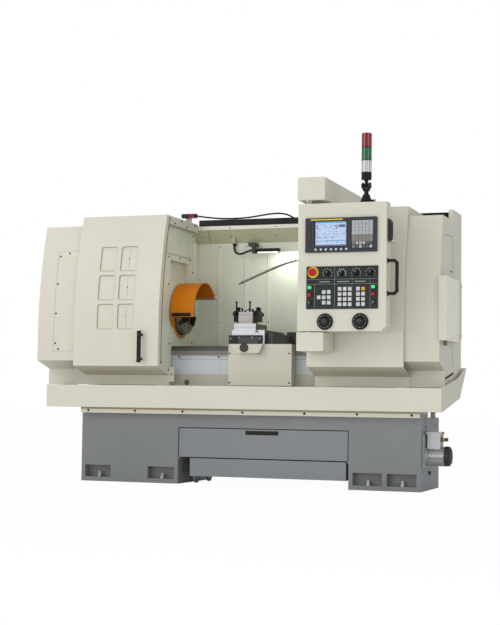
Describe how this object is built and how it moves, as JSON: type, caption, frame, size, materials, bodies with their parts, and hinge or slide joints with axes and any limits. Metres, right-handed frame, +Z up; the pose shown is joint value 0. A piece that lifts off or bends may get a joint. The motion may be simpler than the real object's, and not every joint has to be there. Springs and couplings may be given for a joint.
{
  "type": "cnc turning lathe",
  "caption": "Numerically controlled turning lathe with sliding curved doors, a chuck under a guard, a carriage and tailstock on a flat bed, a swinging control pendant and a signal tower.",
  "frame": {"origin": "on the floor, under the middle of the machine's overall box", "axes": "+X from the headstock to the tailstock, +Y to the back, +Z up"},
  "size_m": [2.516, 1.228, 1.962],
  "materials": {
    "cream_paint": "satin",
    "inner_paint": "satin",
    "grey_paint": "satin",
    "cast_paint": "painted",
    "dark_steel": "oiled",
    "machined_steel": "ground",
    "orange_paint": "gloss",
    "black_metal": "satin",
    "black_plastic": "matte",
    "black_rubber": "matte",
    "aluminium": "satin",
    "red_plastic": "gloss",
    "white_lens": "translucent",
    "green_lens": "translucent",
    "red_lens": "translucent"
  },
  "bodies": {
    "frame": {"stand": "grey_paint", "levelling_bolts": "dark_steel", "pan": "cream_paint", "pan_strip": "cream_paint", "bed": "cast_paint", "headstock": "cast_paint", "left_cover": "cream_paint", "access_panel": "cream_paint", "headstock_wall": "inner_paint", "rear_guard": "inner_paint", "top_rail": "black_metal", "right_guard": "cream_paint", "electrical_cabinet": "cream_paint", "side_box": "cream_paint", "chip_wall": "cast_paint", "overhead_arm": "cream_paint", "interlock_box": "red_plastic", "z_drive": "black_metal", "spindle_drive": "black_metal", "coolant_nozzle": "machined_steel", "coolant_pump": "aluminium", "interlock_cable": "black_rubber", "lamp_cable": "black_rubber"},
    "spindle": {"spindle": "machined_steel", "chuck_body": "dark_steel"},
    "jaw_1": {"jaw_1": "dark_steel"},
    "jaw_2": {"jaw_2": "dark_steel"},
    "jaw_3": {"jaw_3": "dark_steel"},
    "chuck_guard": {"chuck_guard": "orange_paint"},
    "carriage": {"saddle": "cream_paint", "apron": "cream_paint"},
    "z_screw": {"z_screw": "machined_steel"},
    "cross_slide": {"cross_slide": "aluminium", "tool_post": "machined_steel", "tool_holders": "black_metal"},
    "tailstock": {"tailstock": "cast_paint"},
    "quill": {"quill": "machined_steel"},
    "tail_handwheel": {"tail_handwheel": "dark_steel"},
    "left_door": {"left_door": "cream_paint", "left_door_handle": "black_plastic"},
    "right_door": {"right_door": "cream_paint"},
    "pendant": {"pendant_box": "cream_paint", "display_unit": "black_plastic", "operator_panel": "black_plastic", "pendant_handle": "black_plastic", "tower_base": "black_plastic"},
    "e_stop": {"e_stop": "red_plastic"},
    "mode_knob_1": {"mode_knob_1": "black_plastic"},
    "mode_knob_2": {"mode_knob_2": "black_plastic"},
    "mode_knob_3": {"mode_knob_3": "black_plastic"},
    "mode_knob_4": {"mode_knob_4": "black_plastic"},
    "hand_wheel_1": {"hand_wheel_1": "black_plastic"},
    "hand_wheel_2": {"hand_wheel_2": "black_plastic"},
    "tower": {"tower_collar": "black_plastic", "lens_white": "white_lens", "lens_green": "green_lens", "lens_red": "red_lens"},
    "chip_drawer": {"chip_drawer": "grey_paint"},
    "coolant_tank": {"coolant_tank": "grey_paint"},
    "work_lamp": {"work_lamp": "black_metal"}
  },
  "joints": [
    {"name": "spindle_turn", "type": "hinge", "parent": "frame", "child": "spindle", "pos_m": [-0.6, 0.05, 1.015], "axis": [1, 0, 0], "continuous": true},
    {"name": "jaw_1_slide", "type": "slide", "parent": "spindle", "child": "jaw_1", "axis": [0, 0, 1], "range_m": [-0.012, 0.01]},
    {"name": "jaw_2_slide", "type": "slide", "parent": "spindle", "child": "jaw_2", "axis": [0, -0.866, -0.5], "range_m": [-0.012, 0.01]},
    {"name": "jaw_3_slide", "type": "slide", "parent": "spindle", "child": "jaw_3", "axis": [0, 0.866, -0.5], "range_m": [-0.012, 0.01]},
    {"name": "guard_swing", "type": "hinge", "parent": "frame", "child": "chuck_guard", "pos_m": [-0.39, 0.21629, 1.13144], "axis": [1, 0, 0], "range_deg": [-50, 0]},
    {"name": "carriage_slide", "type": "slide", "parent": "frame", "child": "carriage", "axis": [1, 0, 0], "range_m": [-0.2, 0.33]},
    {"name": "z_screw_turn", "type": "hinge", "parent": "frame", "child": "z_screw", "pos_m": [0.2, 0.05, 0.7], "axis": [1, 0, 0], "continuous": true},
    {"name": "cross_slide_slide", "type": "slide", "parent": "carriage", "child": "cross_slide", "axis": [0, 1, 0], "range_m": [-0.08, 0.1]},
    {"name": "tailstock_slide", "type": "slide", "parent": "frame", "child": "tailstock", "axis": [1, 0, 0], "range_m": [-0.05, 0.1]},
    {"name": "quill_slide", "type": "slide", "parent": "tailstock", "child": "quill", "axis": [1, 0, 0], "range_m": [-0.1, 0]},
    {"name": "tail_handwheel_turn", "type": "hinge", "parent": "tailstock", "child": "tail_handwheel", "pos_m": [1.05, 0.05, 1.015], "axis": [1, 0, 0], "continuous": true},
    {"name": "left_door_slide", "type": "slide", "parent": "frame", "child": "left_door", "axis": [1, 0, 0], "range_m": [0, 0.52]},
    {"name": "right_door_slide", "type": "slide", "parent": "frame", "child": "right_door", "axis": [1, 0, 0], "range_m": [-0.39, 0]},
    {"name": "pendant_swing", "type": "hinge", "parent": "frame", "child": "pendant", "pos_m": [0.522, -0.53, 1.2], "axis": [0, 0, 1], "range_deg": [-75, 0]},
    {"name": "e_stop_push", "type": "slide", "parent": "pendant", "child": "e_stop", "axis": [0, 1, 0], "range_m": [0, 0.005], "stiffness_N_per_m": 600},
    {"name": "mode_knob_1_turn", "type": "hinge", "parent": "pendant", "child": "mode_knob_1", "pos_m": [0.646, -0.59, 1.19], "axis": [0, 1, 0], "range_deg": [-135, 135]},
    {"name": "mode_knob_2_turn", "type": "hinge", "parent": "pendant", "child": "mode_knob_2", "pos_m": [0.7267, -0.59, 1.19], "axis": [0, 1, 0], "range_deg": [-135, 135]},
    {"name": "mode_knob_3_turn", "type": "hinge", "parent": "pendant", "child": "mode_knob_3", "pos_m": [0.8074, -0.59, 1.19], "axis": [0, 1, 0], "range_deg": [-135, 135]},
    {"name": "mode_knob_4_turn", "type": "hinge", "parent": "pendant", "child": "mode_knob_4", "pos_m": [0.8881, -0.59, 1.19], "axis": [0, 1, 0], "range_deg": [-135, 135]},
    {"name": "hand_wheel_1_turn", "type": "hinge", "parent": "pendant", "child": "hand_wheel_1", "pos_m": [0.634, -0.59, 0.926], "axis": [0, 1, 0], "continuous": true},
    {"name": "hand_wheel_2_turn", "type": "hinge", "parent": "pendant", "child": "hand_wheel_2", "pos_m": [0.832, -0.59, 0.926], "axis": [0, 1, 0], "continuous": true},
    {"name": "tower_tilt", "type": "hinge", "parent": "pendant", "child": "tower", "pos_m": [0.848, -0.53, 1.673], "axis": [1, 0, 0], "range_deg": [-45, 45]},
    {"name": "drawer_slide", "type": "slide", "parent": "frame", "child": "chip_drawer", "axis": [0, 1, 0], "range_m": [-0.35, 0]},
    {"name": "tank_slide", "type": "slide", "parent": "frame", "child": "coolant_tank", "axis": [0, 1, 0], "range_m": [-0.45, 0]},
    {"name": "lamp_turn", "type": "hinge", "parent": "frame", "child": "work_lamp", "pos_m": [0.02, 0.24, 1.418], "axis": [1, 0, 0], "range_deg": [-60, 60]}
  ],
  "couplings": [
    {"joint": "jaw_2_slide", "follows": "jaw_1_slide", "ratio": 1},
    {"joint": "jaw_3_slide", "follows": "jaw_1_slide", "ratio": 1},
    {"joint": "z_screw_turn", "follows": "carriage_slide", "rad_per_m": 628.32},
    {"joint": "tail_handwheel_turn", "follows": "quill_slide", "rad_per_m": 1256.6}
  ]
}
